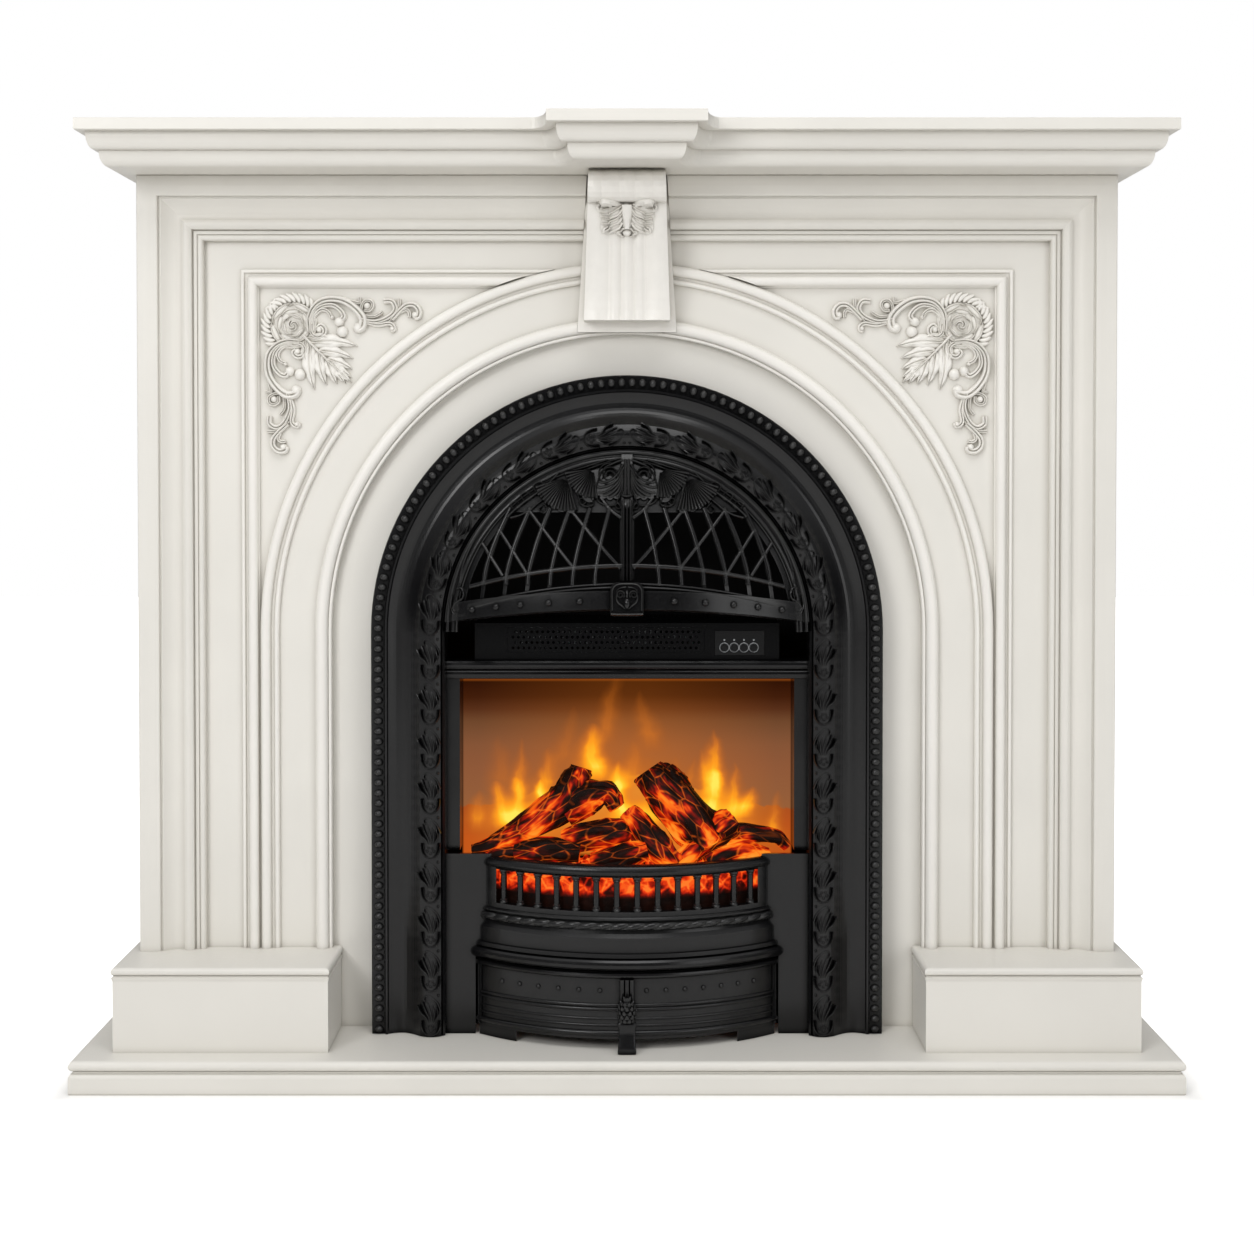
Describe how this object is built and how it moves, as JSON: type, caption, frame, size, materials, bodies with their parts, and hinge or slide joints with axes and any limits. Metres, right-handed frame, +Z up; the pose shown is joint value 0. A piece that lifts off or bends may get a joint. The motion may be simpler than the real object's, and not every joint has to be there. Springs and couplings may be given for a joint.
{
  "type": "electric fireplace with mantel",
  "caption": "Electric fireplace in a painted arched mantel, with a cast arch, hood, basket grate and pull-off ash cover.",
  "frame": {"origin": "on the floor under the centre of the bounding box", "axes": "+Z up, -Y towards the room, +Y towards the wall, +X to the right seen from the room"},
  "size_m": [1.4, 0.37, 1.224],
  "materials": {
    "painted_mdf": "satin paint",
    "painted_resin": "satin paint",
    "cast_iron": "satin black stove paint",
    "black_sheet": "semi-gloss black",
    "zinc_sheet": "zinc-plated sheet",
    "aluminium": "mill",
    "mirror_strip": "polished strip",
    "black_plastic": "gloss",
    "button_plastic": "satin",
    "lens_plastic": "clear",
    "screen_acrylic": "translucent",
    "lamp_board": "satin",
    "log_resin": "charred bark",
    "ember_resin": "glowing resin"
  },
  "bodies": {
    "fireplace": {"hearth_base": "painted_mdf", "hearth_top": "painted_mdf", "left_plinth_block": "painted_mdf", "right_plinth_block": "painted_mdf", "left_plinth_cap": "painted_mdf", "right_plinth_cap": "painted_mdf", "face_panel": "painted_mdf", "backing_board": "painted_mdf", "left_side_panel": "painted_mdf", "right_side_panel": "painted_mdf", "wall_batten": "painted_mdf", "left_frame_moulding": "painted_mdf", "top_frame_moulding": "painted_mdf", "right_frame_moulding": "painted_mdf", "left_panel_moulding": "painted_mdf", "top_panel_moulding": "painted_mdf", "right_panel_moulding": "painted_mdf", "outer_arch_moulding": "painted_mdf", "inner_arch_moulding": "painted_mdf", "crown_lower": "painted_mdf", "crown_upper": "painted_mdf", "shelf_top": "painted_mdf", "left_corner_applique": "painted_resin", "right_corner_applique": "painted_resin", "keystone_corbel": "painted_resin", "cast_arch": "cast_iron", "hood_shell": "cast_iron", "hood_band": "cast_iron", "hood_crest": "cast_iron", "hood_rivets": "cast_iron", "left_side_plate": "cast_iron", "right_side_plate": "cast_iron", "basket_grate": "cast_iron", "basket_apron": "cast_iron", "firebox_case": "black_sheet", "heater_housing": "black_sheet", "outlet_grille": "black_sheet", "lintel_trim": "black_sheet", "left_corner_post": "black_sheet", "right_corner_post": "black_sheet", "rear_cover": "black_sheet", "control_panel": "black_plastic", "indicator_lenses": "lens_plastic", "fan_motor": "zinc_sheet", "heating_element": "aluminium", "flame_screen": "screen_acrylic", "rotor_motor": "zinc_sheet", "light_strip": "lamp_board", "log_set": "log_resin", "ember_bed": "ember_resin", "mains_inlet": "black_plastic"},
    "ash_cover": {"ash_cover": "cast_iron", "ash_cover_rivets": "cast_iron", "ash_cover_handle": "cast_iron"},
    "power_button": {"power_button": "button_plastic"},
    "flame_button": {"flame_button": "button_plastic"},
    "low_heat_button": {"low_heat_button": "button_plastic"},
    "high_heat_button": {"high_heat_button": "button_plastic"},
    "fan_wheel": {"fan_wheel": "aluminium"},
    "flame_rotor": {"flame_rotor": "mirror_strip"}
  },
  "joints": [
    {"name": "ash_cover_pull", "type": "slide", "parent": "fireplace", "child": "ash_cover", "axis": [0, -1, 0], "range_m": [0, 0.03]},
    {"name": "power_button_press", "type": "slide", "parent": "fireplace", "child": "power_button", "axis": [0, 1, 0], "range_m": [0, 0.001], "stiffness_N_per_m": 400},
    {"name": "flame_button_press", "type": "slide", "parent": "fireplace", "child": "flame_button", "axis": [0, 1, 0], "range_m": [0, 0.001], "stiffness_N_per_m": 400},
    {"name": "low_heat_button_press", "type": "slide", "parent": "fireplace", "child": "low_heat_button", "axis": [0, 1, 0], "range_m": [0, 0.001], "stiffness_N_per_m": 400},
    {"name": "high_heat_button_press", "type": "slide", "parent": "fireplace", "child": "high_heat_button", "axis": [0, 1, 0], "range_m": [0, 0.001], "stiffness_N_per_m": 400},
    {"name": "fan_spin", "type": "hinge", "parent": "fireplace", "child": "fan_wheel", "pos_m": [0, 0.092, 0.556], "axis": [1, 0, 0], "continuous": true},
    {"name": "rotor_spin", "type": "hinge", "parent": "fireplace", "child": "flame_rotor", "pos_m": [0, 0.107, 0.292], "axis": [1, 0, 0], "continuous": true}
  ]
}
